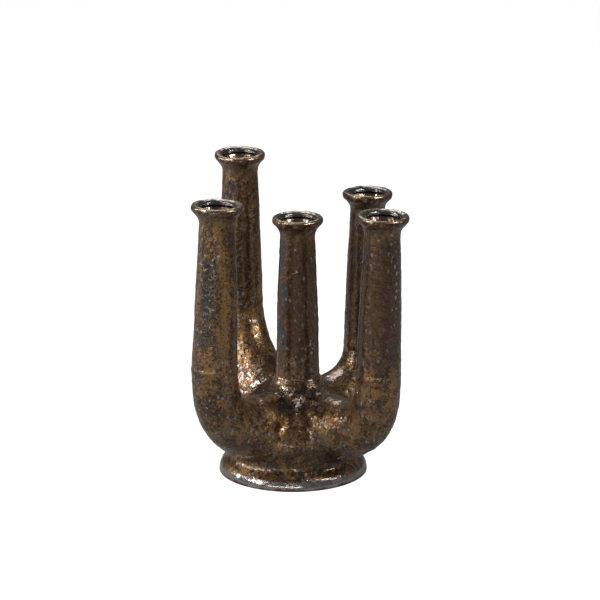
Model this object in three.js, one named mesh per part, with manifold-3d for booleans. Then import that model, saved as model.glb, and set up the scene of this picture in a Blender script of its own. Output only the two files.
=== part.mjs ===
// A stoneware vase with five necks: one stands on the bowl, and four stand on bent arms around it.
// Each thrown piece is a closed solid of its own, butted to the next and sealed with a coil of slip.
// Millimetres, +Z up. It stands on z = 0, with the origin below the middle of its outline.

import * as THREE from 'three';
import { mergeVertices } from 'three/addons/utils/BufferGeometryUtils.js';
import Module from 'manifold-3d';

// Clay walls and joints
const neckWall = 4;
const armWall = 4.6;
const bowlWall = 5.5;
const floorThickness = 6;
const slipGap = 0.3; // soft slip between two butted pieces
const bevel = 1.8; // on both edges of a butt joint, which makes a groove for a coil of slip
const coilProud = 0.7; // how far a coil stands out of its groove

// Foot: a flared ring, open underneath
const footHeight = 26;
const footRadius = 74.8;
const footEdgeHeight = 10.8; // of its thick rim
const footEdgeTop = 2.8; // how far the rim's top rounds in
const footEdgeBottom = 1; // how far its bottom rounds in
const footFlareOut = 8; // control point of the flare, out from the waist and up from the rim
const footFlareUp = 5.5;
const footFaceWidth = 9; // flat ring that it stands on
const footWall = 7;
const waistRadius = 50;

// Bowl: a squat bottle whose collar carries the middle neck
const bellyRadius = 63;
const bellyRise = 25; // widest level of the bowl, above the foot
const shoulderRadius = 46;
const shoulderRise = 45; // level where its wall has turned in
const collarRadius = 22.5;
const collarRise = 71; // collar's top, above the foot
const collarThroat = 10; // height over which the shoulder runs up into the collar
const collarShift = 4.7; // the collar stands this far to the right of the foot's axis

// Arms: thrown tubes, bent up out of the bowl's side
const armRootRadius = 29;
const armRootReach = 27; // an arm's centreline starts this far from the bowl's axis
const armRootLift = 0.4; // underside of an arm's root, over the groove between foot and bowl
const clayFlare = 3; // extra radius of the clay that is worked around an arm's root
const clayLength = 30; // how far that clay runs along the arm from the bowl
const clayFeather = 1.2; // its thickness at the thin end

// Necks: tapered tubes with a rolled lip
const neckWaistRadius = 17.6;
const neckWaistDrop = 17; // slimmest level, below the lip's widest circle
const taperSwell = 2.6; // control radius of the taper, over the slimmest radius
const taperLevel = 0.65; // its level, as a share of the way up to the slimmest
const lipRadius = 25.9;
const lipTop = 2.3; // above the lip's widest circle
const lipUnder = 4.2; // underside of the lip's edge, below that circle
const lipRound = 1.2; // how far the underside turns in
const lipCrest = 3.4; // top of the roll, in from the widest circle
const mouthRadius = 18.6;
const mouthDip = 1.4; // how far the lip slopes down into the mouth
const throatRadius = 15.9;
const throatDrop = 4.4; // ridge inside the mouth, below the lip's top
const undercut = 0.9; // depth of the groove under that ridge
const undercutHeight = 3.6;

const middleNeckLength = 164;

// The four outer necks. An arm meets its neck at its reach from the foot's axis and at its rise
// above the foot.
const frontLeftReach = 115.5;
const frontLeftRise = 106;
const frontLeftJointRadius = 23.2;
const frontLeftNeckLength = 163.8;
const frontRightReach = 119;
const frontRightRise = 100;
const frontRightJointRadius = 22.8;
const frontRightNeckLength = 160.3;
const backRightReach = 103.7;
const backRightRise = 84;
const backRightJointRadius = 24;
const backRightNeckLength = 157.9;
const backLeftReach = 95.1;
const backLeftRise = 127;
const backLeftJointRadius = 22.2;
const backLeftNeckLength = 155.3;

// Facets
const tubeSides = 20;
const bowlSides = 40;
const curveSteps = 3;
const armSteps = 9;

// Bearing and leans are in degrees. A fullness of 0.55 bends an arm as a quarter ellipse does, and
// more makes a squarer bend.
const arms = [
  {
    place: 'front_left', bearing: 228.5, reach: frontLeftReach, rise: frontLeftRise,
    fullness: 0.63, leanRight: 1.3, leanBack: 1.2,
    jointRadius: frontLeftJointRadius, neckLength: frontLeftNeckLength,
  },
  {
    place: 'front_right', bearing: 314.8, reach: frontRightReach, rise: frontRightRise,
    fullness: 0.7, leanRight: 1.3, leanBack: -0.8,
    jointRadius: frontRightJointRadius, neckLength: frontRightNeckLength,
  },
  {
    place: 'back_right', bearing: 43.7, reach: backRightReach, rise: backRightRise,
    fullness: 0.6, leanRight: 0.2, leanBack: 1,
    jointRadius: backRightJointRadius, neckLength: backRightNeckLength,
  },
  {
    place: 'back_left', bearing: 123.5, reach: backLeftReach, rise: backLeftRise,
    fullness: 0.43, leanRight: -0.5, leanBack: -1.5,
    jointRadius: backLeftJointRadius, neckLength: backLeftNeckLength,
  },
];

const glazed = { color: 0x4a3524, roughness: 0.35, metalness: 0.55 };
const glazedSlip = { color: 0x5a432c, roughness: 0.4, metalness: 0.5 };
const glazedFoot = { color: 0x3a2a20, roughness: 0.3, metalness: 0.4 };

const collarTop = footHeight + collarRise;
const grooveTop = footHeight + bevel + slipGap; // top of the groove between foot and bowl
const upward = new THREE.Vector3(0, 0, 1);
const wasm = await Module();
wasm.setup();

// Helpers

function solidFrom(geometry) {
  const bare = geometry.toNonIndexed();
  bare.deleteAttribute('normal');
  bare.deleteAttribute('uv');
  const merged = mergeVertices(bare, 1e-4);
  return new wasm.Manifold(new wasm.Mesh({
    numProp: 3,
    vertProperties: merged.getAttribute('position').array,
    triVerts: new Uint32Array(merged.index.array),
  }));
}

function geometryFrom(solid) {
  const made = solid.getMesh();
  const geometry = new THREE.BufferGeometry();
  geometry.setAttribute('position', new THREE.BufferAttribute(made.vertProperties, 3));
  geometry.setIndex(new THREE.BufferAttribute(made.triVerts, 1));
  return geometry;
}

function makeMesh(name, geometry, finish) {
  const shown = geometry.toNonIndexed();
  shown.computeVertexNormals();
  const mesh = new THREE.Mesh(shown, new THREE.MeshStandardMaterial(finish));
  mesh.name = name;
  return mesh;
}

// Turns a profile of radius and height about the Z axis.
function turned(path, sides) {
  return new THREE.LatheGeometry(path.getPoints(curveSteps), sides).rotateX(Math.PI / 2);
}

// Necks

// Up the outside, over the rolled lip, into the mouth and down the bore.
function neckGeometry(length, jointRadius) {
  const waistLevel = length - neckWaistDrop;
  const taperAt = waistLevel * taperLevel;
  const taperRadius = neckWaistRadius + taperSwell;
  const underLevel = length - lipUnder;
  const topLevel = length + lipTop;
  const mouthLevel = topLevel - mouthDip;
  const throatLevel = topLevel - throatDrop;
  const boreRadius = jointRadius - neckWall;
  const path = new THREE.Path();
  path.moveTo(boreRadius, 0);
  path.lineTo(jointRadius - bevel, 0);
  path.lineTo(jointRadius, bevel);
  path.quadraticCurveTo(taperRadius, taperAt, neckWaistRadius, waistLevel);
  path.quadraticCurveTo(neckWaistRadius, underLevel - lipUnder, lipRadius - lipRound, underLevel);
  path.quadraticCurveTo(lipRadius, underLevel, lipRadius, length);
  path.quadraticCurveTo(lipRadius, topLevel, lipRadius - lipCrest, topLevel);
  path.lineTo(mouthRadius, mouthLevel);
  path.lineTo(throatRadius, throatLevel);
  path.lineTo(throatRadius + undercut, throatLevel - undercutHeight / 2);
  path.lineTo(throatRadius, throatLevel - undercutHeight);
  path.lineTo(neckWaistRadius - neckWall, waistLevel);
  path.quadraticCurveTo(taperRadius - neckWall, taperAt, boreRadius, 0);
  return turned(path, tubeSides);
}

// Coil of slip, centred on z = 0 in the groove of a joint whose walls have this outer radius.
function coilGeometry(radius, sides) {
  const half = bevel - slipGap * (Math.SQRT2 - 0.5);
  const path = new THREE.Path();
  path.moveTo(radius - half, 0);
  path.lineTo(radius, -half);
  path.quadraticCurveTo(radius + coilProud * 2, 0, radius, half);
  path.lineTo(radius - half, 0);
  return turned(path, sides);
}

// A neck and its coil, which stand on a joint at the group's origin.
function neckOnJoint(place, length, jointRadius) {
  const group = new THREE.Group();
  const neck = makeMesh(`${place}_neck`, neckGeometry(length, jointRadius), glazed);
  const coil = makeMesh(`${place}_neck_coil`, coilGeometry(jointRadius, tubeSides), glazedSlip);
  neck.position.z = slipGap;
  coil.position.z = slipGap / 2;
  group.add(neck, coil);
  return group;
}

// Arms

// Centreline of an arm: level out of the bowl, then up into the joint with its neck.
function armLine(arm) {
  const bearing = THREE.MathUtils.degToRad(arm.bearing);
  const away = new THREE.Vector3(Math.cos(bearing), Math.sin(bearing), 0);
  const right = Math.tan(THREE.MathUtils.degToRad(arm.leanRight));
  const back = Math.tan(THREE.MathUtils.degToRad(arm.leanBack));
  const axis = new THREE.Vector3(right, back, 1).normalize();
  const root = away.clone().multiplyScalar(armRootReach);
  root.setZ(grooveTop + armRootLift + armRootRadius);
  const end = away.clone().multiplyScalar(arm.reach).setZ(footHeight + arm.rise);
  end.addScaledVector(axis, -bevel);
  const nearRoot = root.clone().addScaledVector(away, (arm.reach - armRootReach) * arm.fullness);
  const nearEnd = end.clone().addScaledVector(axis, (root.z - end.z) * arm.fullness);
  const curve = new THREE.CubicBezierCurve3(root, nearRoot, nearEnd, end);
  const bend = curve.getLength();
  return { curve, bend, across: away.clone().cross(upward), length: bend + bevel };
}

// Place and directions of a cross-section: Z along the line and X over its top. The line is
// straight past its bend, so that the joint's bevel stays true.
function sectionAt(line, level) {
  const share = THREE.MathUtils.clamp(level / line.bend, 0, 1);
  const along = line.curve.getTangentAt(share);
  const side = line.across.clone().addScaledVector(along, -line.across.dot(along)).normalize();
  const top = side.clone().cross(along);
  const point = line.curve.getPointAt(share).addScaledVector(along, level - share * line.bend);
  return new THREE.Matrix4().makeBasis(top, side, along).setPosition(point);
}

// Bends a straight form, turned about Z from z = 0 to the line's length, along the line.
function bent(geometry, line) {
  const position = geometry.getAttribute('position');
  const point = new THREE.Vector3();
  for (let i = 0; i < position.count; i += 1) {
    const section = sectionAt(line, position.getZ(i));
    point.fromBufferAttribute(position, i).setZ(0).applyMatrix4(section);
    position.setXYZ(i, point.x, point.y, point.z);
  }
  return solidFrom(geometry);
}

// Even levels along an arm's line, up to its bevel.
function armLevels(line) {
  return Array.from({ length: armSteps + 1 }, (_, i) => (line.bend * i) / armSteps);
}

// Profile between the inner and outer radius at these levels.
function tubeProfile(at, inner, outer) {
  const path = new THREE.Path();
  path.moveTo(inner(at[0]), at[0]);
  at.forEach((level) => path.lineTo(outer(level), level));
  at.toReversed().forEach((level) => path.lineTo(inner(level), level));
  return path;
}

// An arm's outer radius eases from its root to its joint.
function armRadius(arm, line) {
  return (level) => {
    const eased = THREE.MathUtils.smoothstep(level / line.length, 0.2, 1);
    return THREE.MathUtils.lerp(armRootRadius, arm.jointRadius, eased);
  };
}

function armTube(arm, line) {
  const radius = armRadius(arm, line);
  const at = [...armLevels(line), line.length];
  const inner = (level) => radius(level) - armWall;
  const outer = (level) => (level < line.length ? radius(level) : arm.jointRadius - bevel);
  return bent(turned(tubeProfile(at, inner, outer), tubeSides), line);
}

// An arm as a filled form, grown by a gap, or shrunk to its bore.
function armForm(arm, line, grown) {
  const radius = armRadius(arm, line);
  const axis = () => 0;
  const outer = (level) => radius(level) + grown;
  return bent(turned(tubeProfile(armLevels(line), axis, outer), tubeSides), line);
}

// Clay worked around an arm's root, thick against the bowl and thin along the arm.
function rootClay(arm, line, grown) {
  const radius = armRadius(arm, line);
  const end = bellyRadius - armRootReach + clayLength;
  const at = [...armLevels(line).filter((level) => level < end), end];
  const inner = (level) => radius(level) + slipGap;
  const outer = (level) => {
    const thick = THREE.MathUtils.clamp((end - level) / clayLength, 0, 1) ** 2;
    return inner(level) + clayFeather + clayFlare * thick + grown;
  };
  return bent(turned(tubeProfile(at, inner, outer), tubeSides), line);
}

// Bowl and foot

// A filled form with the bowl's outline, inset by a wall or grown by a gap, from its floor up.
function bowlForm(inset, floor, top, edge) {
  const belly = footHeight + bellyRise;
  const shoulder = footHeight + shoulderRise;
  const waist = waistRadius - inset;
  const widest = bellyRadius - inset;
  const collar = collarRadius - inset;
  const path = new THREE.Path();
  path.moveTo(0, floor);
  path.lineTo(waist - edge, floor);
  path.lineTo(waist, floor + edge);
  path.quadraticCurveTo(widest, (floor + belly) / 2, widest, belly);
  path.quadraticCurveTo(widest, shoulder, shoulderRadius - inset, shoulder);
  path.quadraticCurveTo(collar, shoulder + collarThroat, collar, footHeight + collarRise - bevel);
  path.lineTo(collar, top - edge);
  path.lineTo(collar - edge, top);
  path.lineTo(0, top);
  const geometry = turned(path, bowlSides);
  const position = geometry.getAttribute('position');
  for (let i = 0; i < position.count; i += 1) {
    const climb = (position.getZ(i) - footHeight) / (collarRise - bevel);
    position.setX(i, position.getX(i) + collarShift * THREE.MathUtils.clamp(climb, 0, 1));
  }
  return solidFrom(geometry);
}

function footGeometry() {
  const top = footHeight - slipGap;
  const faceOuter = footRadius - footEdgeBottom;
  const faceInner = faceOuter - footFaceWidth;
  const flareRadius = waistRadius + footFlareOut;
  const inner = waistRadius - footWall;
  const path = new THREE.Path();
  path.moveTo(faceInner, 0);
  path.lineTo(faceOuter, 0);
  path.lineTo(footRadius, footEdgeBottom);
  path.quadraticCurveTo(footRadius, footEdgeHeight, footRadius - footEdgeTop, footEdgeHeight);
  path.quadraticCurveTo(flareRadius, footEdgeHeight + footFlareUp, waistRadius, top - bevel);
  path.lineTo(waistRadius - bevel, top);
  path.lineTo(inner, top);
  path.quadraticCurveTo(inner, footEdgeHeight / 2, faceInner, 0);
  return turned(path, bowlSides);
}

// Assembly

const vase = new THREE.Group();
const lines = arms.map(armLine);
const cavity = bowlForm(bowlWall, footHeight + floorThickness, collarTop + bowlWall, 0);
const bowlGrown = bowlForm(-slipGap, footHeight, collarTop, 0);
const bores = arms.map((arm, i) => armForm(arm, lines[i], -armWall));
const outsides = arms.map((arm, i) => armForm(arm, lines[i], slipGap));
const bowl = bores.reduce((body, bore) => body.subtract(bore),
  bowlForm(0, footHeight, collarTop, bevel).subtract(cavity));

vase.add(makeMesh('foot_ring', footGeometry(), glazedFoot));
const footCoil = makeMesh('foot_coil', coilGeometry(waistRadius, bowlSides), glazedSlip);
footCoil.position.z = footHeight - slipGap / 2;
vase.add(footCoil);
vase.add(makeMesh('bowl', geometryFrom(bowl), glazed));

// An arm is cut to the bowl. Its clay stops at the level of the groove over the foot, and where it
// meets another arm or that arm's clay.
const below = new THREE.BoxGeometry(footRadius * 4, footRadius * 4, grooveTop);
let armTaken = bowlGrown;
let clayTaken = bowlGrown.add(solidFrom(below.translate(0, 0, grooveTop / 2)));
arms.forEach((arm, i) => {
  const tube = armTube(arm, lines[i]).subtract(armTaken);
  vase.add(makeMesh(`${arm.place}_arm`, geometryFrom(tube), glazed));
  armTaken = armTaken.add(outsides[i]);
  const others = outsides.filter((_, other) => other !== i);
  const clay = others.reduce((body, other) => body.subtract(other),
    rootClay(arm, lines[i], 0).subtract(clayTaken));
  vase.add(makeMesh(`${arm.place}_root_clay`, geometryFrom(clay), glazedSlip));
  clayTaken = clayTaken.add(rootClay(arm, lines[i], slipGap));
  const neck = neckOnJoint(arm.place, arm.neckLength, arm.jointRadius);
  neck.applyMatrix4(sectionAt(lines[i], lines[i].length));
  vase.add(neck);
});

const middleNeck = neckOnJoint('centre', middleNeckLength, collarRadius);
middleNeck.position.set(collarShift, 0, collarTop);
vase.add(middleNeck);

// The origin lies below the middle of the whole outline.
vase.updateMatrixWorld(true);
const middle = new THREE.Box3().setFromObject(vase, true).getCenter(new THREE.Vector3());
vase.position.set(-middle.x, -middle.y, 0);

export default vase;
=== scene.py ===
import math
import bpy
import numpy as np
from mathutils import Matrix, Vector
from mathutils.geometry import interpolate_bezier


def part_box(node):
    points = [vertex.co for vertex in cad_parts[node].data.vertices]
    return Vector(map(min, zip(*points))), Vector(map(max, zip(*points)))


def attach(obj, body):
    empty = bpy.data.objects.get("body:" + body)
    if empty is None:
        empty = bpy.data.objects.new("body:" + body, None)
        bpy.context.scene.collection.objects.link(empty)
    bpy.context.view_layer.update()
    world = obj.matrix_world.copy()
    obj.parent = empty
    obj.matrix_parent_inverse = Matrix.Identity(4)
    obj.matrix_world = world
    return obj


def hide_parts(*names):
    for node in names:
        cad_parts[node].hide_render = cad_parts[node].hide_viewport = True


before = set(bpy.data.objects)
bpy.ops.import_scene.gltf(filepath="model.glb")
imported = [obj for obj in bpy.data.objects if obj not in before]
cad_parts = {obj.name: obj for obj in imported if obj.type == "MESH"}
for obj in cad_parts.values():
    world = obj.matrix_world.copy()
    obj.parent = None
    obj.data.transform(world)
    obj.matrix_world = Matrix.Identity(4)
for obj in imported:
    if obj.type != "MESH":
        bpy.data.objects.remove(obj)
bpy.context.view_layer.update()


def mm(size):
    return size / 1000


# Places, read from the fixed frame

jointRing = {"height": 3, "handRoom": 0.55}      # the stretch measured, and room for hand marks


def standOf(node):
    # where a thrown neck stands, which way it points, its length and its radius at the joint
    points = np.array([v.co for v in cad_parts[node].data.vertices])
    middle = points.mean(0)
    axis = np.linalg.svd(points - middle, full_matrices=False)[2][0]
    axis *= np.sign(axis[2])
    along = (points - middle) @ axis
    out = np.linalg.norm(points - middle - np.outer(along, axis), axis=1)
    atJoint = along < along.min() + mm(jointRing["height"])
    return {
        "base": Vector(middle + axis * along.min()),
        "axis": Vector(axis),
        "length": along.max() - along.min(),
        "joint": out[atJoint].max() - mm(jointRing["handRoom"]),
    }


armPlaces = ["front_left", "front_right", "back_right", "back_left"]
stands = {place: standOf(place + "_neck") for place in armPlaces + ["centre"]}
footLow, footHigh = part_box("foot_ring")
footCentre = Vector(((footLow.x + footHigh.x) / 2, (footLow.y + footHigh.y) / 2, 0))
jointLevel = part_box("bowl")[0].z        # where the bowl begins, over the foot
print("places read: the foot stands at", [round(v, 4) for v in footCentre])


# Small helpers for modelling

weld = 0.02              # points nearer to each other than this are made one
leastTurn = 1e-6         # a ring that turns less than this isn't turned


def clearHands():
    if bpy.context.object and bpy.context.object.mode != "OBJECT":
        bpy.ops.object.mode_set(mode="OBJECT")
    bpy.ops.object.select_all(action="DESELECT")


def pick(piece, *others):
    # only these are selected, and piece is the active one
    clearHands()
    for other in others + (piece,):
        other.select_set(True)
    bpy.context.view_layer.objects.active = piece


def named(name):
    made = bpy.context.object
    made.name = made.data.name = name
    return made


def applied(piece):
    pick(piece)
    bpy.ops.object.transform_apply(location=True, rotation=True, scale=True)
    return piece


def placed(piece, place, turn=(0, 0, 0)):
    piece.location = place
    piece.rotation_euler = turn
    return applied(piece)


def finished(piece, kind, **settings):
    # adds a modifier, sets it and applies it
    pick(piece)
    bpy.ops.object.modifier_add(type=kind)
    modifier = piece.modifiers[-1]
    for setting, value in settings.items():
        setattr(modifier, setting, value)
    bpy.ops.object.modifier_apply(modifier=modifier.name)
    return piece


def carved(piece, *tools, operation="DIFFERENCE"):
    for tool in tools:
        finished(piece, "BOOLEAN", object=tool, operation=operation, solver="MANIFOLD")
    return piece


def putAway(*tools):
    for tool in tools:
        bpy.data.meshes.remove(tool.data)


def copied(piece, name):
    pick(piece)
    bpy.ops.object.duplicate()
    return named(name)


def block(low, high):
    clearHands()
    low, high = Vector(low), Vector(high)
    bpy.ops.mesh.primitive_cube_add(size=1, location=(low + high) / 2, scale=high - low)
    return applied(named("block"))


def softLine(points, spacing):
    # evenly spaced points on a soft curve through these (radius, level) points
    line = [Vector((point[0], point[1], 0)) for point in points]
    ends = [line[0] * 2 - line[1]] + line + [line[-1] * 2 - line[-2]]
    drawn = []
    for before, start, end, after in zip(ends, ends[1:], ends[2:], ends[3:]):
        reach = (end - start).length
        steps = max(1, round(reach / spacing))
        leave = (end - before).normalized() * reach / 3
        arrive = (after - start).normalized() * reach / 3
        drawn += interpolate_bezier(start, start + leave, end - arrive, end, steps + 1)[:-1]
    return [(point.x, point.y) for point in drawn + [line[-1]]]


def ringForm(name, rings, sides):
    # a closed form through circles in the XZ plane: each has a centre x and z, a radius, and the
    # tilt of its axis from +X up towards +Z
    x, z, radius, tilt = rings[0]
    clearHands()
    bpy.ops.mesh.primitive_circle_add(
        vertices=sides, radius=radius, fill_type="NGON", location=(x, 0, z),
        rotation=(0, math.pi / 2 - tilt, 0))
    form = applied(named(name))
    bpy.ops.object.mode_set(mode="EDIT")
    bpy.ops.mesh.select_all(action="SELECT")
    for here, there in zip(rings, rings[1:]):
        step = (there[0] - here[0], 0, there[1] - here[1])
        centre = (there[0], 0, there[1])
        grow = there[2] / here[2]
        turn = there[3] - here[3]
        bpy.ops.mesh.extrude_region_move(TRANSFORM_OT_translate={"value": step})
        bpy.ops.transform.resize(value=(grow, grow, grow), center_override=centre)
        if abs(turn) > leastTurn:
            bpy.ops.transform.rotate(value=turn, orient_axis="Y", center_override=centre)
    bpy.ops.mesh.select_all(action="SELECT")
    bpy.ops.mesh.normals_make_consistent(inside=False)
    bpy.ops.object.mode_set(mode="OBJECT")
    return form


def turnedForm(name, outline, level, grown, centre, sides, spacing=2):
    # a closed form of upright rings about a centre, from an outline in millimetres
    line = softLine(outline, spacing)
    rings = [(0, mm(z) + level, mm(radius + grown), math.pi / 2) for radius, z in line]
    return placed(ringForm(name, rings, sides), (centre.x, centre.y, 0))


def thrown(name, outline, sides):
    # a hollow form thrown on the wheel: a closed outline of (radius, level) spun about Z. It
    # starts as a small plane merged to one point
    clearHands()
    bpy.ops.mesh.primitive_plane_add(size=mm(1), location=(outline[0][0], 0, outline[0][1]))
    form = applied(named(name))
    bpy.ops.object.mode_set(mode="EDIT")
    bpy.ops.mesh.select_all(action="SELECT")
    bpy.ops.mesh.merge(type="CENTER")
    for here, there in zip(outline, outline[1:]):
        step = (there[0] - here[0], 0, there[1] - here[1])
        bpy.ops.mesh.extrude_vertices_move(TRANSFORM_OT_translate={"value": step})
    bpy.ops.mesh.select_all(action="SELECT")
    bpy.ops.mesh.spin(steps=sides, angle=2 * math.pi, center=(0, 0, 0), axis=(0, 0, 1))
    bpy.ops.mesh.select_all(action="SELECT")
    bpy.ops.mesh.remove_doubles(threshold=mm(weld))
    bpy.ops.mesh.normals_make_consistent(inside=False)
    bpy.ops.object.mode_set(mode="OBJECT")
    return form


# The maker's hand: one unevenness for all pieces, so that it runs on across their joints

handMarks = {
    "wobble": {"size": 42, "height": 1.3, "stretch": 1.6},
    "strokes": {"size": 8, "height": 0.8, "stretch": 7},
    "lumps": {"size": 7, "height": 1, "stretch": 1},
    "peel": {"size": 2.8, "height": 0.35, "stretch": 1.2},
}


def handWorked(piece, group="", **share):
    # share changes how strongly a mark shows on this piece, and group where
    for mark, values in handMarks.items():
        texture = bpy.data.textures.get(mark) or bpy.data.textures.new(mark, "CLOUDS")
        texture.noise_scale = 1
        guide = bpy.data.objects.get(mark + "Guide")
        if guide is None:
            guide = bpy.data.objects.new(mark + "Guide", None)
            bpy.context.scene.collection.objects.link(guide)
            size = mm(values["size"])
            guide.scale = (size, size, size * values["stretch"])
            bpy.context.view_layer.update()
        finished(piece, "DISPLACE", texture=texture, texture_coords="OBJECT",
                 texture_coords_object=guide, mid_level=0.5, vertex_group=group,
                 strength=mm(values["height"]) * share.get(mark, 1))
    return piece


# Necks

neckShape = {
    "wall": 4, "waist": 17.6, "waistDrop": 17, "taperSwell": 2.6, "taperLevel": 0.65,
    "crest": 2.7,            # the lip's top, over its widest circle
    "lumps": 0.8,            # how strong this hand mark is on what is thrown
    "sides": 96, "tapers": 8, "spacing": 1.4, "insideSpacing": 5, "lipSpacing": 0.9,
}
# (radius, level) from the lip's widest circle: under the lip, over the roll, into the mouth
lipOutline = [
    (17.6, -17), (18.3, -12.6), (20.6, -8.3), (23.2, -5.4), (24.3, -4.4), (25.1, -3.2),
    (25.45, -1.2), (25.35, 0.5), (24.6, 1.8), (23.2, 2.4), (21.2, 2.2), (19.4, 1.6), (18.1, 0.7),
    (17.5, -0.6), (17.2, -1.7), (17.1, -2.3), (18.1, -2.8), (18.5, -3.9), (17.6, -6),
    (15.8, -9.2), (13.8, -17),
]


def neckWall(stand, inset):
    # (radius, level) points from the joint up to the waist, in millimetres
    joint = stand["joint"] * 1000 - inset
    swell = neckShape["waist"] + neckShape["taperSwell"] - inset
    waist = neckShape["waist"] - inset
    top = stand["length"] * 1000 - neckShape["crest"] - neckShape["waistDrop"]
    middle = top * neckShape["taperLevel"]
    shares = [i / neckShape["tapers"] for i in range(neckShape["tapers"] + 1)]
    return [(joint * (1 - t) ** 2 + swell * 2 * t * (1 - t) + waist * t ** 2,
             middle * 2 * t * (1 - t) + top * t ** 2) for t in shares]


def stoodUp(piece, stand):
    turn = Vector((0, 0, 1)).rotation_difference(stand["axis"]).to_euler()
    return placed(piece, stand["base"], turn)


def inMetres(outline):
    return [(mm(radius), mm(level)) for radius, level in outline]


def makeNeck(place):
    stand = stands[place]
    widest = stand["length"] * 1000 - neckShape["crest"]
    lip = [(radius, widest + level) for radius, level in lipOutline]
    outside = softLine(neckWall(stand, 0), neckShape["spacing"])
    inside = softLine(neckWall(stand, neckShape["wall"])[::-1], neckShape["insideSpacing"])
    outline = outside + softLine(lip, neckShape["lipSpacing"])[1:] + inside[1:] + outside[:1]
    neck = thrown("glazed_" + place + "_neck", inMetres(outline), neckShape["sides"])
    return handWorked(stoodUp(neck, stand), lumps=neckShape["lumps"])


coilShape = {
    "height": 8, "proud": 0.35, "centreProud": 1, "shoulder": 0.15,     # over the neck's face
    "inset": 1.6, "edgeInset": 0.25,                                    # under it
    "spacing": 0.5,
}


def makeCoil(place):
    # the coil of slip over a neck's joint, worked down to a faint ridge
    stand = stands[place]
    half = coilShape["height"] / 2
    radius = stand["joint"] * 1000
    inner = radius - coilShape["inset"]
    ridge = radius + coilShape["centreProud" if place == "centre" else "proud"]
    side = radius + coilShape["shoulder"]
    edge = radius - coilShape["edgeInset"]
    crown = [(edge, -half), (side, -half / 2), (ridge, 0), (side, half / 2), (edge, half)]
    crown = softLine(crown, coilShape["spacing"])
    outline = [(inner, half), (inner, -half)] + crown + [(inner, half)]
    coil = thrown("glazed_" + place + "_neck_coil", inMetres(outline), neckShape["sides"])
    return handWorked(stoodUp(coil, stand), lumps=neckShape["lumps"])


# Body: the bowl, the arms and the foot are worked into one form, then parted

bowlShape = {
    "belly": [(64, 0), (67, 5), (70, 10), (71.6, 15), (71, 20.5), (67.5, 26.5), (62, 32.5),
              (55, 38.5), (46, 42), (38, 43)],
    "collar": [(52, 39), (47.5, 44.5), (40.5, 50.5), (33.8, 57), (27.8, 63.5), (24, 69),
               (22.8, 72), (22.8, 78)],
    "hollow": [(40, 6), (50, 9), (56, 15.5), (58, 21), (56.5, 27), (52, 32.5), (46, 36), (38, 38)],
    "throat": [(17.5, 30), (17.5, 90)],
    "grown": 0.5,            # given to the belly and collar, because smoothing thins them
    "parting": 3,            # the bowl is parted from the arms this far outside its belly
    "sides": 96, "hollowSides": 64,
}
footShape = {
    "outline": [(75.1, -3), (74.8, 0), (74.5, 3), (73.8, 6), (72.7, 8.7), (71, 11.2), (68.9, 13.5),
                (67, 15.5), (65.5, 18), (64.6, 21), (64.4, 25), (64.4, 31)],
    "recess": [(66, -4), (64.8, 0), (58, 4), (50, 11), (45.5, 18), (43, 25.4)],
    "coil": [(46, 24.2), (69, 24.2), (69, 27.4), (46, 27.4), (46, 24.2)],
    "parting": 25.8,
    "sides": 128, "recessSides": 96,
}
armShape = {
    "rootReach": 27, "rootRise": 29, "rootRadius": 26.5, "wall": 4.6,
    "easeFrom": 0.2,         # this share of the arm keeps the root's radius
    "clayRun": 36,           # how far along the arm its clay stays thick
    "clayFade": 84,          # where it has faded out
    "clayEnd": 62,           # where its piece ends
    "clayDepth": 1.2,        # how deep under the tube's face the clay's piece reaches
    "past": 5,               # the arm is made this much too long, then cut off at its joint
    "hollowPast": 4,         # and its hollow this much longer still
    "parting": -2.4,         # where the quarters are parted, in degrees
    "steps": 26, "finer": 4, "sides": 64,        # finer: points of the line to each step
}
cutters = {
    "reach": 150,            # how far what parts the body reaches, past the vase on all sides
    "floor": (130, 20),      # half the size and the depth of what cuts the foot flat
    "clay": 70,              # half the size of what parts an arm's clay
    "joint": (3, 14), "jointSides": 32,          # how far past a joint's radius, and how high
}
armFullness = {"front_left": 0.72, "front_right": 0.79, "back_right": 0.63, "back_left": 0.42}
armClay = {"front_left": 4.6, "front_right": 4.6, "back_right": 1.5, "back_left": 3.5}


def armLine(place):
    # the arm's middle line in the upright plane through the foot's axis, and the length so far
    stand = stands[place]
    away = (stand["base"] - footCentre).to_2d()
    root = Vector((mm(armShape["rootReach"]), 0, jointLevel + mm(armShape["rootRise"])))
    end = Vector((away.length, 0, stand["base"].z))
    full = armFullness[place]
    level = root + Vector(((end.x - root.x) * full, 0, 0))
    upright = end - Vector((0, 0, (end.z - root.z) * full))
    points = armShape["steps"] * armShape["finer"] + 1
    line = interpolate_bezier(root, level, upright, end, points)
    lengths = [0]
    for here, there in zip(line, line[1:]):
        lengths.append(lengths[-1] + (there - here).length)
    return line, lengths


def tiltAt(line, i):
    ahead = line[min(i + 1, len(line) - 1)] - line[max(i - 1, 0)]
    return math.atan2(ahead.z, ahead.x)


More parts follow.
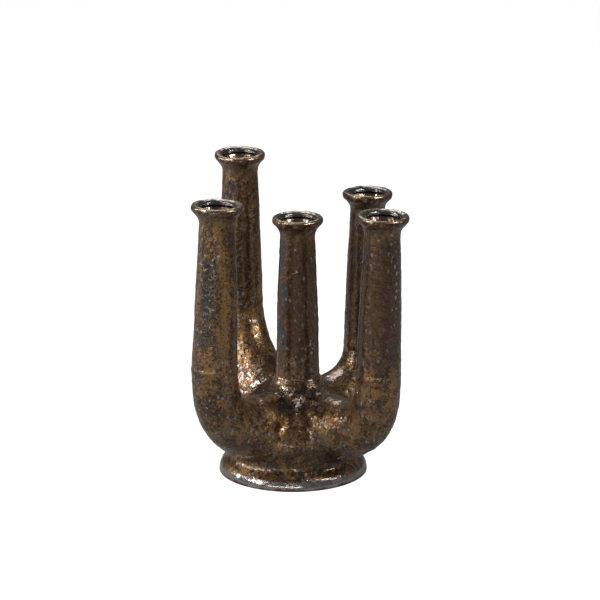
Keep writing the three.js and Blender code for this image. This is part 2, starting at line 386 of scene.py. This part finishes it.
def armForm(place, grown, clayShare=0, past=0):
    line, lengths = armLine(place)
    easeFrom = armShape["easeFrom"]
    run = mm(armShape["clayFade"] - armShape["clayRun"])
    rings = []
    for i in range(0, len(line), armShape["finer"]):
        share = min(max((lengths[i] / lengths[-1] - easeFrom) / (1 - easeFrom), 0), 1)
        ease = share * share * (3 - 2 * share)
        radius = mm(armShape["rootRadius"]) * (1 - ease) + stands[place]["joint"] * ease
        thin = min(max((lengths[i] - mm(armShape["clayRun"])) / run, 0), 1)
        clay = mm(armClay[place]) * clayShare * (1 - thin) ** 2
        clay += mm(smoothing["swell"]) * clayShare * (1 - thin)
        rings.append((line[i].x, line[i].z, radius + clay + mm(grown), tiltAt(line, i)))
    x, z, radius, tilt = rings.pop()
    rings.append((x, z, radius, math.pi / 2))
    rings.append((x, z + mm(armShape["past"] + past), radius, math.pi / 2))
    away = stands[place]["base"] - footCentre
    form = ringForm(place + "Form", rings, armShape["sides"])
    return placed(form, footCentre, (0, 0, math.atan2(away.y, away.x)))


def clayTool(place):
    # what belongs to the clay at an arm's root: all round the tube, up to the clay's end
    line, lengths = armLine(place)
    i = next(i for i, length in enumerate(lengths) if length > mm(armShape["clayEnd"]))
    wide = mm(cutters["clay"])
    tool = block((-wide * 2, -wide, -wide), (0, wide, wide))
    placed(tool, line[i], (0, -tiltAt(line, i), 0))
    away = stands[place]["base"] - footCentre
    placed(tool, footCentre, (0, 0, math.atan2(away.y, away.x)))
    tube = armForm(place, -armShape["clayDepth"])
    carved(tool, tube)
    putAway(tube)
    return tool


smoothing = {
    "voxel": 1.1, "factor": 0.5, "rounds": 260, "lastRounds": 3,
    "top": 108, "bottom": 17, "fade": 12,        # levels
    "reach": 92, "reachFade": 20,                # from the foot's axis
    "swell": 1.6,            # given to the arms' roots, because smoothing thins them
}
bodyHand = {"strokes": 0.65, "rim": 7, "rimFade": 12, "rimShare": 0.1}


def marked(body, name, shareOf):
    # a vertex group with the share that shareOf gives for each place, in millimetres
    group = body.vertex_groups.new(name=name)
    shares = {}
    for vertex in body.data.vertices:
        reach = (vertex.co - footCentre).to_2d().length * 1000
        share = round(min(max(shareOf(vertex.co.z * 1000, reach), 0), 1), 1)
        shares.setdefault(share, []).append(vertex.index)
    for share, members in shares.items():
        group.add(members, share, "REPLACE")


def joinShare(height, reach):
    low = (height - smoothing["bottom"]) / smoothing["fade"]
    high = (smoothing["top"] - height) / smoothing["fade"]
    return min(low, high, (smoothing["reach"] - reach) / smoothing["reachFade"])


def handShare(height, reach):
    # a potter finishes the foot's rim smoother than the rest
    return max(bodyHand["rimShare"], (height - bodyHand["rim"]) / bodyHand["rimFade"])


def softened(body):
    # rounds the places where the forms run into each other, and leaves the foot's rim alone
    marked(body, "joins", joinShare)
    finished(body, "SMOOTH", factor=smoothing["factor"], iterations=smoothing["rounds"],
             vertex_group="joins")
    finished(body, "SMOOTH", factor=smoothing["factor"], iterations=smoothing["lastRounds"])


def bodyForms(grown):
    base = stands["centre"]["base"]
    sides = bowlShape["sides"]
    belly = turnedForm("belly", bowlShape["belly"], jointLevel, grown, footCentre, sides)
    collar = turnedForm("collar", bowlShape["collar"], jointLevel, grown, base, sides)
    return [belly, collar]


def makeBody():
    outer = bodyForms(bowlShape["grown"])
    outer += [turnedForm("foot", footShape["outline"], 0, 0, footCentre, footShape["sides"])]
    outer += [armForm(place, 0, clayShare=1) for place in armPlaces]
    pick(*outer)
    bpy.ops.object.join()
    body = named("body")
    finished(body, "REMESH", mode="VOXEL", voxel_size=mm(smoothing["voxel"]))
    softened(body)
    marked(body, "worked", handShare)
    handWorked(body, "worked", strokes=bodyHand["strokes"])
    body.vertex_groups.clear()
    print("body worked:", len(body.data.polygons), "faces")
    # hollow it out, and cut it flat under the foot and at the joints
    base, sides = stands["centre"]["base"], bowlShape["hollowSides"]
    hollow = turnedForm("hollow", bowlShape["hollow"], jointLevel, 0, footCentre, sides)
    tools = [turnedForm("throat", bowlShape["throat"], jointLevel, 0, base, sides),
             turnedForm("recess", footShape["recess"], 0, 0, footCentre,
                        footShape["recessSides"])]
    tools += [armForm(place, -armShape["wall"], past=armShape["hollowPast"])
              for place in armPlaces]
    wide, deep = [mm(size) for size in cutters["floor"]]
    tools.append(block((-wide, -wide, -deep), (wide, wide, 0)))
    past, height = cutters["joint"]
    for stand in stands.values():
        radius = stand["joint"] * 1000 + past
        tools.append(turnedForm("over", [(radius, 0), (radius, height)], stand["base"].z, 0,
                                stand["base"], cutters["jointSides"]))
    carved(hollow, *tools, operation="UNION")
    carved(body, hollow)
    putAway(hollow, *tools)
    return body


def cutFrom(body, name, tool):
    # parts the piece inside the tool from the body
    piece = carved(copied(body, name), tool, operation="INTERSECT")
    carved(body, tool)
    putAway(tool)
    return piece


def makeBodyPieces():
    body = makeBody()
    wide = mm(cutters["reach"])
    turn = math.radians(armShape["parting"])
    made = {}
    seam = thrown("seam", inMetres(footShape["coil"]), footShape["sides"])
    made["foot_coil"] = cutFrom(body, "glazed_foot_coil", placed(seam, footCentre))
    under = block((-wide, -wide, -wide), (wide, wide, mm(footShape["parting"])))
    made["foot_ring"] = cutFrom(body, "glazed_foot", under)
    belly, collar = bodyForms(bowlShape["parting"])
    carved(belly, collar, operation="UNION")
    putAway(collar)
    made["bowl"] = cutFrom(body, "glazed_bowl", belly)
    # the arms stand in the four quarters around the bowl
    for place in armPlaces:
        away = stands[place]["base"] - footCentre
        quarter = math.floor((math.atan2(away.y, away.x) - turn) / (math.pi / 2))
        corner = block((0, 0, 0), (wide, wide, wide))
        placed(corner, footCentre, (0, 0, turn + quarter * math.pi / 2))
        arm = carved(copied(body, "glazed_" + place + "_arm"), corner, operation="INTERSECT")
        putAway(corner)
        made[place + "_root_clay"] = cutFrom(arm, "glazed_" + place + "_root_clay",
                                             clayTool(place))
        made[place + "_arm"] = arm
    putAway(body)
    return made


pieces = makeBodyPieces()
print("body parted")
for place in stands:
    pieces[place + "_neck"] = makeNeck(place)
    pieces[place + "_neck_coil"] = makeCoil(place)
for mark in handMarks:
    bpy.data.objects.remove(bpy.data.objects[mark + "Guide"])
print("necks thrown")


# Glaze: helpers for its nodes

def addNode(tree, kind, inputs, **settings):
    # inputs maps a socket's name or number to a value or to another node's socket
    made = tree.nodes.new("ShaderNode" + kind)
    for setting, value in settings.items():
        setattr(made, setting, value)
    for socket, value in inputs.items():
        if isinstance(value, bpy.types.NodeSocket):
            tree.links.new(value, made.inputs[socket])
        else:
            made.inputs[socket].default_value = value
    return made


def calc(tree, operation, *values):
    inputs = dict(enumerate(values))
    return addNode(tree, "Math", inputs, operation=operation).outputs[0]


def noise(tree, place, size, detail=4, warp=0, rough=0.55):
    # size is in millimetres
    inputs = {"Vector": place, "Scale": 1000 / size, "Detail": detail,
              "Distortion": warp, "Roughness": rough}
    return addNode(tree, "TexNoise", inputs).outputs[0]


def rising(tree, value, low, high):
    # 0 under low, 1 over high, and soft between them; falls instead where high is the lower
    inputs = {"Value": value, "From Min": low, "From Max": high}
    return addNode(tree, "MapRange", inputs, interpolation_type="SMOOTHSTEP").outputs[0]


def mixed(tree, share, first, second):
    made = addNode(tree, "Mix", {0: share, 6: first, 7: second}, data_type="RGBA")
    return made.outputs[2]


def drawnOut(tree, place, times):
    # makes a pattern longer up and down
    made = addNode(tree, "VectorMath", {0: place, 1: (1, 1, 1 / times)}, operation="MULTIPLY")
    return made.outputs[0]


def spots(tree, place, size, radius, share, core=0.6, softness=0.05):
    # spots in some of the cells of a Voronoi pattern; core is the part of a spot that is full
    cells = addNode(tree, "TexVoronoi", {"Vector": place, "Scale": 1000 / size})
    chosen = addNode(tree, "SeparateColor", {0: cells.outputs["Color"]}).outputs[0]
    inside = rising(tree, cells.outputs["Distance"], radius, radius * core)
    return calc(tree, "MULTIPLY", inside, rising(tree, chosen, share, share - softness))


def levelOf(tree, place):
    # how high a place is, in millimetres
    level = addNode(tree, "SeparateXYZ", {0: place}).outputs["Z"]
    return calc(tree, "MULTIPLY", level, 1000)


def reachOf(tree, place):
    # how far a place is from the Z axis, in millimetres
    flat = addNode(tree, "VectorMath", {0: place, 1: (1, 1, 0)}, operation="MULTIPLY")
    reach = addNode(tree, "VectorMath", {0: flat.outputs[0]}, operation="LENGTH")
    return calc(tree, "MULTIPLY", reach.outputs["Value"], 1000)


def frayed(tree, value, ragged, by):
    # moves a value up and down with a noise
    return calc(tree, "MULTIPLY_ADD", calc(tree, "SUBTRACT", ragged, 0.5), by, value)


def placeGroup(tree, group, inputs):
    return addNode(tree, "Group", inputs, node_tree=group).outputs


def makeGroup(name, inputs, outputs):
    # inputs and outputs map a socket's name to its kind; gives the tree and both ends
    group = bpy.data.node_groups.new(name, "ShaderNodeTree")
    for socket, kind in inputs.items():
        group.interface.new_socket(socket, in_out="INPUT", socket_type="NodeSocket" + kind)
    for socket, kind in outputs.items():
        group.interface.new_socket(socket, in_out="OUTPUT", socket_type="NodeSocket" + kind)
    start = group.nodes.new("NodeGroupInput").outputs
    end = group.nodes.new("NodeGroupOutput").inputs
    return group, start, end


# Lustre: ochre streaks and blotches, blue-black bands, speckles and pits; the speckles gathered
# on one side of a neck are painted glints

lustre = {
    "dark": (0.038, 0.019, 0.009, 1), "ochre": (0.27, 0.145, 0.05, 1),
    "bronze": (0.12, 0.062, 0.025, 1), "blueBlack": (0.038, 0.045, 0.056, 1),
    # speckle: pale blue-grey, the glaze's crystals, and on one side of a neck painted glints
    "red": (0.09, 0.018, 0.008, 1), "speckle": (0.28, 0.3, 0.33, 1),
    "pit": (0.008, 0.006, 0.005, 1),
}


# In the marks' dictionaries a size is in millimetres, and a pair says where a mark begins and
# where it is full
lustreMarks = {
    "ragged": 3, "raggedBy": 3.6,                # how far spots are pushed out of round
    "broad": 15, "broadShare": 0.4, "fine": 3, "fineShare": 0.6,
    "bare": 0.72, "ochreBy": 0.36, "gold": (-0.03, 0.07), "goldDulls": 0.3,
    "bronze": (0.36, 0.6),
    "redSize": 7, "red": (0.5, 0.62),
    "bandSize": 10, "band": (0.42, 0.6), "blue": (0.66, 0.46), "blueMost": 0.85,
    "dotSize": 4.1, "dotLong": 1.6, "dotRadius": 0.36, "dotShare": 0.55,
    "crowdSize": 14, "crowd": (0.38, 0.6),
    "pitSize": 2.5, "pitRadius": 0.33, "pitShare": 0.42, "pitDark": 0.85,
}


def makeLustre():
    # Place is drawn out where the glaze has run, Grain isn't
    kinds = {"Place": "Vector", "Grain": "Vector", "Ochre": "Float", "Blue": "Float",
             "Red": "Float", "Speckles": "Float"}
    tree, start, end = makeGroup("lustre", kinds, {"Color": "Color", "Gloss": "Float"})
    place, grain, marks = start["Place"], start["Grain"], lustreMarks
    ragged = addNode(tree, "TexNoise", {
        "Vector": grain, "Scale": 1000 / marks["ragged"], "Detail": 3}).outputs["Color"]
    offset = addNode(tree, "VectorMath", {0: ragged, 1: (mm(marks["raggedBy"]),) * 3},
                     operation="MULTIPLY").outputs[0]
    loose = addNode(tree, "VectorMath", {0: grain, 1: offset}, operation="ADD").outputs[0]
    broad = noise(tree, place, marks["broad"], detail=4, warp=0.5)
    fine = noise(tree, grain, marks["fine"], detail=5, warp=0.8, rough=0.75)
    both = calc(tree, "ADD", calc(tree, "MULTIPLY", broad, marks["broadShare"]),
                calc(tree, "MULTIPLY", fine, marks["fineShare"]))
    level = calc(tree, "SUBTRACT", marks["bare"],
                 calc(tree, "MULTIPLY", start["Ochre"], marks["ochreBy"]))
    over = calc(tree, "SUBTRACT", both, level)
    color = mixed(tree, rising(tree, fine, *marks["bronze"]), lustre["dark"], lustre["bronze"])
    reds = rising(tree, noise(tree, loose, marks["redSize"], detail=3), *marks["red"])
    color = mixed(tree, calc(tree, "MULTIPLY", reds, start["Red"]), color, lustre["red"])
    gold = rising(tree, over, *marks["gold"])
    color = mixed(tree, gold, color, lustre["ochre"])
    bands = noise(tree, place, marks["bandSize"], detail=5, warp=0.5, rough=0.65)
    bands = rising(tree, bands, *marks["band"])
    blues = calc(tree, "MULTIPLY", bands, rising(tree, fine, *marks["blue"]))
    blues = calc(tree, "MINIMUM", calc(tree, "MULTIPLY", blues, start["Blue"]),
                 marks["blueMost"])
    color = mixed(tree, blues, color, lustre["blueBlack"])
    # pale speckles: the glaze's crystals, and where a neck gathers them on one side, painted
    # glints
    dots = spots(tree, drawnOut(tree, loose, marks["dotLong"]), marks["dotSize"],
                 marks["dotRadius"], marks["dotShare"])
    crowd = rising(tree, noise(tree, place, marks["crowdSize"], detail=2), *marks["crowd"])
    dots = calc(tree, "MULTIPLY", calc(tree, "MULTIPLY", dots, crowd), start["Speckles"])
    dots = calc(tree, "MINIMUM", dots, 1)
    color = mixed(tree, dots, color, lustre["speckle"])
    pits = spots(tree, loose, marks["pitSize"], marks["pitRadius"], marks["pitShare"])
    color = mixed(tree, calc(tree, "MULTIPLY", pits, marks["pitDark"]), color, lustre["pit"])
    tree.links.new(color, end["Color"])
    gloss = calc(tree, "SUBTRACT", calc(tree, "ADD", dots, blues),
                 calc(tree, "MULTIPLY", gold, marks["goldDulls"]))
    tree.links.new(gloss, end["Gloss"])
    return tree


# Skin: the glaze's own relief, as a height in millimetres

skin = {
    "long": 1.5,             # all of it is drawn out this much
    "peel": 0.2, "peelSize": 1.7, "ripple": 0.26, "rippleSize": 4.4,
    "pit": 0.3, "pitSize": 2.6, "pitRadius": 0.3, "pitShare": 0.25,
    "dimple": 0.7, "dimpleSize": 6, "dimpleLong": 2.2, "dimpleTurn": 0.5,
    "dimpleRadius": 0.34, "dimpleShare": 0.6,
}


def makeSkin():
    kinds = {"Place": "Vector", "Ripple": "Float", "Dimples": "Float", "Calm": "Float"}
    tree, start, end = makeGroup("skin", kinds, {"Height": "Float"})
    place = start["Place"]
    peel = noise(tree, place, skin["peelSize"], detail=2)
    peel = calc(tree, "MULTIPLY", peel, skin["peel"])
    ripple = noise(tree, place, skin["rippleSize"], detail=3)
    ripple = calc(tree, "MULTIPLY", calc(tree, "MULTIPLY", ripple, start["Ripple"]),
                  skin["ripple"])
    pits = spots(tree, place, skin["pitSize"], skin["pitRadius"], skin["pitShare"])
    height = calc(tree, "SUBTRACT", calc(tree, "ADD", peel, ripple),
                  calc(tree, "MULTIPLY", pits, skin["pit"]))
    turned = addNode(tree, "Mapping", {"Vector": place,
                                       "Rotation": (0, skin["dimpleTurn"], 0)}).outputs[0]
    dimples = spots(tree, drawnOut(tree, turned, skin["dimpleLong"]), skin["dimpleSize"],
                    skin["dimpleRadius"], skin["dimpleShare"])
    dimples = calc(tree, "MULTIPLY", calc(tree, "MULTIPLY", dimples, start["Dimples"]),
                   skin["dimple"])
    height = calc(tree, "SUBTRACT", height, dimples)
    height = calc(tree, "MULTIPLY", height, calc(tree, "SUBTRACT", 1, start["Calm"]))
    tree.links.new(height, end["Height"])
    return tree


# Lip: how the glaze breaks on a mouth, with a painted shadow under its inner ridge. Its place is
# measured from the lip's widest circle.

lipTones = {
    "top": (0.2, 0.155, 0.095, 1), "slope": (0.085, 0.088, 0.085, 1),
    "edge": (0.07, 0.024, 0.014, 1), "deep": (0.12, 0.068, 0.045, 1),
    # undercut is painted shadow: near black where the mouth's undercut lies in shade
    "undercut": (0.004, 0.004, 0.004, 1), "gold": (0.2, 0.125, 0.048, 1),
}


lipMarks = {
    "raggedSize": 4, "raggedBy": 1.6,
    "mouth": (20.2, 19), "funnel": 0.27, "funnelLow": -17,       # it narrows down to this level
    "gold": (-26, -12), "goldBroken": (0.4, 0.6), "goldMost": 0.7,
    "roll": (-6, -4), "edgeBroken": (0.56, 0.46), "edgeMost": 0.95,
    "top": (0.2, 1.2), "worn": (0.3, 0.5), "deep": (-3.4, -4.4),
    "undercutTop": (-1.9, -2.4), "undercutLow": (-5, -3.9),
    "glossier": 0.35,
}


def makeLipTone():
    kinds = {"Color": "Color", "Gloss": "Float", "Place": "Vector", "Edge": "Float"}
    tree, start, end = makeGroup("lipTone", kinds, {"Color": "Color", "Gloss": "Float"})
    place, marks = start["Place"], lipMarks
    ragged = noise(tree, place, marks["raggedSize"], detail=4, warp=0.4, rough=0.65)
    level = frayed(tree, levelOf(tree, place), ragged, marks["raggedBy"])
    funnel = calc(tree, "MULTIPLY", calc(tree, "MAXIMUM", level, marks["funnelLow"]),
                  marks["funnel"])
    inMouth = rising(tree, calc(tree, "SUBTRACT", reachOf(tree, place), funnel),
                     *marks["mouth"])
    gold = calc(tree, "MULTIPLY", rising(tree, level, *marks["gold"]),
                rising(tree, ragged, *marks["goldBroken"]))
    gold = calc(tree, "MULTIPLY", gold, marks["goldMost"])
    color = mixed(tree, gold, start["Color"], lipTones["gold"])
    roll = rising(tree, level, *marks["roll"])
    edge = calc(tree, "MULTIPLY", roll, rising(tree, ragged, *marks["edgeBroken"]))
    edge = calc(tree, "MINIMUM", calc(tree, "MULTIPLY", edge, start["Edge"]),
                marks["edgeMost"])
    color = mixed(tree, edge, color, lipTones["edge"])
    worn = rising(tree, ragged, *marks["worn"])
    top = calc(tree, "MULTIPLY", rising(tree, level, *marks["top"]), worn)
    color = mixed(tree, top, color, lipTones["top"])
    color = mixed(tree, calc(tree, "MULTIPLY", inMouth, worn), color, lipTones["slope"])
    deep = calc(tree, "MULTIPLY", inMouth, rising(tree, level, *marks["deep"]))
    color = mixed(tree, deep, color, lipTones["deep"])
    # painted shadow: near black under the mouth's inner ridge
    under = calc(tree, "MULTIPLY", rising(tree, level, *marks["undercutTop"]),
                 rising(tree, level, *marks["undercutLow"]))
    under = calc(tree, "MULTIPLY", under, inMouth)
    color = mixed(tree, under, color, lipTones["undercut"])
    tree.links.new(color, end["Color"])
    gloss = calc(tree, "MULTIPLY_ADD", calc(tree, "MAXIMUM", inMouth, roll),
                 marks["glossier"], start["Gloss"])
    tree.links.new(calc(tree, "SUBTRACT", gloss, under), end["Gloss"])
    return tree


lustreGroup = makeLustre()
skinGroup = makeSkin()
lipGroup = makeLipTone()

# One glaze for each part of the vase. Blues gather on one side of a neck, and so do pale
# speckles, which there are painted glints where the lamps catch it: -1 is its left, 1 its right
glazes = {
    "body": {"ochre": 0.66, "blue": 0.4, "red": 0.15, "speckles": 1, "ripple": 1.2},
    "foot": {"ochre": 0.62, "blue": 0.6, "red": 0.4, "speckles": 1.1, "ripple": 1.3},
    "front_left": {"ochre": 0.64, "blue": 0.2, "red": 0.15, "speckles": 0.3, "long": 5,
                   "ripple": 1, "blueSide": -0.3, "glintSide": -0.5, "edge": 0.5},
    "front_right": {"ochre": 0.3, "blue": 0.1, "red": 0.4, "speckles": 0.5, "long": 2.6,
                    "ripple": 1.8, "blueSide": 0.8, "glintSide": 0.62, "edge": 1.1,
                    "dimples": 1},
    "back_right": {"ochre": 0.14, "blue": 0.2, "red": 0.2, "speckles": 0.4, "long": 4,
                   "ripple": 1, "blueSide": 0, "glintSide": 0, "edge": 1},
    "back_left": {"ochre": 0.58, "blue": 0.2, "red": 0.1, "speckles": 0.3, "long": 6,
                  "ripple": 1, "blueSide": -0.6, "glintSide": -0.6, "edge": 0.8},
    "centre": {"ochre": 0.4, "blue": 0.1, "red": 0.55, "speckles": 0.8, "long": 2.4,
               "ripple": 1.6, "blueSide": -0.8, "glintSide": 0.6, "edge": 1.8},
}
glazeShine = {"metallic": 0.85, "roughness": 0.37, "coat": 0.55, "coatRoughness": 0.08,
              "coatIor": 1.5, "glossier": 0.16}


neckMarks = {
    "grown": 50,             # over this height the body's pattern turns into the neck's
    "near": (0.5, 0.15), "dimpleSide": 0.62, "dimpleNear": (0.45, 0.15),     # shares of its radius
}


def besides(tree, across, radius, side, near):
    # 1 on one side of a neck, and 0 away from it
    away = calc(tree, "SUBTRACT", calc(tree, "DIVIDE", across, radius), side)
    return rising(tree, calc(tree, "ABSOLUTE", away), *near)


def neckPattern(tree, part, place):
    # on a neck the pattern starts as the body's and is then drawn out upwards, so it runs on
    # over the joint
    values, common, stand = glazes[part], glazes["body"], stands[part]
    turn = Vector((0, 0, 1)).rotation_difference(stand["axis"]).to_euler()
    widest = stand["length"] - mm(neckShape["crest"])
    local = addNode(tree, "Mapping", {
        "Vector": place, "Location": stand["base"] + stand["axis"] * widest,
        "Rotation": turn}, vector_type="TEXTURE").outputs[0]
    across = addNode(tree, "SeparateXYZ", {0: local}).outputs["X"]
    split = addNode(tree, "SeparateXYZ", {0: place})
    base = stand["base"].z
    over = calc(tree, "SUBTRACT", split.outputs["Z"], base)
    up = calc(tree, "ADD", calc(tree, "DIVIDE", over, values["long"]), base)
    drawn = addNode(tree, "CombineXYZ", {0: split.outputs["X"], 1: split.outputs["Y"], 2: up})
    grown = rising(tree, over, 0, mm(neckMarks["grown"]))
    inputs = {"Place": drawn.outputs[0], "Grain": place}
    for socket in ["Ochre", "Blue", "Red", "Speckles"]:
        low, high = common[socket.lower()], values[socket.lower()]
        share = calc(tree, "MULTIPLY_ADD", grown, high - low, low)
        # on the side that the lamps catch, extra pale speckles are painted glints
        side = {"Blue": "blueSide", "Speckles": "glintSide"}.get(socket)
        if side:
            near = besides(tree, across, stand["joint"], values[side], neckMarks["near"])
            share = calc(tree, "MULTIPLY_ADD", near, grown, share)
        inputs[socket] = share
    dimples = besides(tree, across, stand["joint"], neckMarks["dimpleSide"],
                      neckMarks["dimpleNear"])
    dimples = calc(tree, "MULTIPLY", dimples, values.get("dimples", 0))
    return inputs, local, dimples


rimTones = {"band": (0.42, 0.41, 0.4, 1), "edge": (0.1, 0.03, 0.016, 1)}
rimMarks = {
    "raggedSize": 9, "raggedBy": 9,
    "band": (10, 6), "bandMost": 0.6, "edge": (2.6, 0.6), "edgeMost": 0.9,       # levels
    "glossier": 1.1, "calm": 0.85,
}


def footRim(tree, place, color, gloss):
    # the glaze has run smooth and silvery round the foot's rim, and is red-brown at its edge
    marks = rimMarks
    ragged = noise(tree, place, marks["raggedSize"], detail=4, warp=0.5, rough=0.6)
    level = frayed(tree, levelOf(tree, place), ragged, marks["raggedBy"])
    band = rising(tree, level, *marks["band"])
    share = calc(tree, "MULTIPLY", band, marks["bandMost"])
    color = mixed(tree, share, color, rimTones["band"])
    edge = calc(tree, "MULTIPLY", rising(tree, level, *marks["edge"]), marks["edgeMost"])
    color = mixed(tree, edge, color, rimTones["edge"])
    gloss = calc(tree, "MULTIPLY_ADD", band, marks["glossier"], gloss)
    return color, gloss, calc(tree, "MULTIPLY", band, marks["calm"])


poolAndShadeMarks = {
    "raggedSize": 8, "raggedBy": 40,
    "reach": (60, 36), "low": (66, 76), "high": (98, 88),        # from the foot's axis, and levels
    "most": 0.42, "glossier": 0.7,
}


def valleyPoolAndShade(tree, place, color, gloss):
    # darker blue-black glaze round the middle neck and in the valleys between the arms, partly
    # glaze pooled there and partly painted shade
    marks, level = poolAndShadeMarks, levelOf(tree, place)
    away = addNode(tree, "VectorMath", {0: place, 1: footCentre}, operation="SUBTRACT")
    ragged = noise(tree, place, marks["raggedSize"], detail=4, warp=0.5, rough=0.6)
    reach = frayed(tree, reachOf(tree, away.outputs[0]), ragged, marks["raggedBy"])
    near = calc(tree, "MULTIPLY", rising(tree, reach, *marks["reach"]),
                rising(tree, level, *marks["low"]))
    near = calc(tree, "MULTIPLY", near, rising(tree, level, *marks["high"]))
    share = calc(tree, "MULTIPLY", near, marks["most"])
    color = mixed(tree, share, color, lustre["blueBlack"])
    return color, calc(tree, "MULTIPLY_ADD", near, marks["glossier"], gloss)


def makeGlaze(part):
    values = glazes[part]
    glaze = bpy.data.materials.new(part + "Glaze")
    glaze.use_nodes = True
    tree = glaze.node_tree
    shader = tree.nodes["Principled BSDF"]
    place = addNode(tree, "TexCoord", {}).outputs["Object"]
    dimples = calm = 0
    if part in stands:
        inputs, local, dimples = neckPattern(tree, part, place)
        marks = placeGroup(tree, lustreGroup, inputs)
        marks = placeGroup(tree, lipGroup, {"Color": marks["Color"], "Gloss": marks["Gloss"],
                                            "Place": local, "Edge": values["edge"]})
    else:
        inputs = {socket.title(): values[socket]
                  for socket in ["ochre", "blue", "red", "speckles"]}
        marks = placeGroup(tree, lustreGroup, {"Place": place, "Grain": place, **inputs})
    color, gloss = marks["Color"], marks["Gloss"]
    if part == "body":
        # the valleys darken: partly pooled glaze, partly painted shade
        color, gloss = valleyPoolAndShade(tree, place, color, gloss)
    if part == "foot":
        color, gloss, calm = footRim(tree, place, color, gloss)
    relief = placeGroup(tree, skinGroup, {
        "Place": drawnOut(tree, place, skin["long"]), "Ripple": values["ripple"],
        "Dimples": dimples, "Calm": calm})
    tree.links.new(color, shader.inputs["Base Color"])
    rough = calc(tree, "SUBTRACT", glazeShine["roughness"],
                 calc(tree, "MULTIPLY", gloss, glazeShine["glossier"]))
    tree.links.new(rough, shader.inputs["Roughness"])
    bump = addNode(tree, "Bump", {"Height": relief["Height"], "Distance": mm(1),
                                  "Strength": 1})
    tree.links.new(bump.outputs[0], shader.inputs["Normal"])
    shader.inputs["Metallic"].default_value = glazeShine["metallic"]
    shader.inputs["Coat Weight"].default_value = glazeShine["coat"]
    shader.inputs["Coat Roughness"].default_value = glazeShine["coatRoughness"]
    shader.inputs["Coat IOR"].default_value = glazeShine["coatIor"]
    return glaze


def glazedAs(node):
    # the part of the vase whose glaze a piece takes
    if node.startswith("foot"):
        return "foot"
    return node.split("_neck")[0] if "_neck" in node else "body"


smoothAngle = 50         # edges sharper than this, in degrees, stay sharp
coats = {part: makeGlaze(part) for part in glazes}

for node, piece in pieces.items():
    piece.data.materials.clear()
    piece.data.materials.append(coats[glazedAs(node)])
    pick(piece)
    bpy.ops.object.shade_smooth_by_angle(angle=math.radians(smoothAngle))
    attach(piece, "root")
    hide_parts(node)
    print(piece.name, len(piece.data.polygons), "faces")


# Studio

studio = {
    "elevation": 16.5, "distance": 3400, "lens": 204, "sensor": 36, "aim": (7, 0, 177),
    "floor": (9000, 7000), "floorBack": 1400,
    "floorShade": 0.27, "floorRoughness": 0.9, "floorGlow": 0.93, "worldLight": 0.1,
    "middle": 150,           # the height that the panels face
}


def makeStudio():
    clearHands()
    bpy.ops.mesh.primitive_plane_add(size=1, location=(0, mm(studio["floorBack"]), 0))
    floor = named("floor")
    floor.scale = (mm(studio["floor"][0]), mm(studio["floor"][1]), 1)
    applied(floor)
    paper = bpy.data.materials.new("paper")
    paper.use_nodes = True
    shader = paper.node_tree.nodes["Principled BSDF"]
    shade = studio["floorShade"]
    shader.inputs["Base Color"].default_value = (shade, shade, shade, 1)
    shader.inputs["Roughness"].default_value = studio["floorRoughness"]
    # it glows to the camera alone: it looks white, but throws little light on the vase
    seen = addNode(paper.node_tree, "LightPath", {}).outputs["Is Camera Ray"]
    glow = calc(paper.node_tree, "MULTIPLY", seen, studio["floorGlow"])
    shader.inputs["Emission Color"].default_value = (1, 1, 1, 1)
    paper.node_tree.links.new(glow, shader.inputs["Emission Strength"])
    floor.data.materials.append(paper)


makeStudio()


def makeCamera():
    tilt = math.radians(studio["elevation"])
    reach = mm(studio["distance"])
    aim = footCentre + Vector(studio["aim"]) / 1000
    place = aim + Vector((0, -math.cos(tilt), math.sin(tilt))) * reach
    clearHands()
    bpy.ops.object.camera_add(location=place, rotation=(math.pi / 2 - tilt, 0, 0))
    camera = bpy.context.object
    camera.data.sensor_width = studio["sensor"]
    camera.data.lens = studio["lens"]
    bpy.context.scene.camera = camera


makeCamera()

# where each panel hangs, measured from the vase's middle, its width and height, and its power
panels = {
    "leftPanel": {"from": (-1500, 150, 300), "size": (200, 450), "power": 7},
    "frontLeftPanel": {"from": (-1350, -750, 330), "size": (700, 250), "power": 7},
    "frontPanel": {"from": (-350, -1500, 90), "size": (1500, 60), "power": 2.4},
    "highLeftPanel": {"from": (-1080, -460, 1010), "size": (140, 140), "power": 13},
    "highRightPanel": {"from": (1050, -660, 940), "size": (230, 210), "power": 14},
    "rightPanel": {"from": (1450, -550, 560), "size": (200, 200), "power": 3},
    "topPanel": {"from": (-400, -80, 1600), "size": (330, 330), "power": 3},
    "backPanel": {"from": (-200, 1300, 1300), "size": (900, 500), "power": 8},
}


def makePanels():
    middle = footCentre + Vector((0, 0, mm(studio["middle"])))
    for name, values in panels.items():
        place = middle + Vector(values["from"]) / 1000
        clearHands()
        turn = (middle - place).to_track_quat("-Z", "Y").to_euler()
        bpy.ops.object.light_add(type="AREA", location=place, rotation=turn)
        light = bpy.context.object
        light.name = light.data.name = name
        light.data.shape = "RECTANGLE"
        light.data.size = mm(values["size"][0])
        light.data.size_y = mm(values["size"][1])
        light.data.energy = values["power"]


makePanels()


def makeWorld():
    world = bpy.data.worlds.new("studio")
    bpy.context.scene.world = world
    world.use_nodes = True
    tree = world.node_tree
    background = tree.nodes["Background"]
    background.inputs["Color"].default_value = (1, 1, 1, 1)
    # white to the camera, and dim to the vase
    seen = addNode(tree, "LightPath", {}).outputs["Is Camera Ray"]
    inputs = {"Value": seen, "To Min": studio["worldLight"], "To Max": 1}
    strength = addNode(tree, "MapRange", inputs).outputs["Result"]
    tree.links.new(strength, background.inputs["Strength"])


makeWorld()
bpy.context.scene.view_settings.view_transform = "Standard"
print("studio lit")
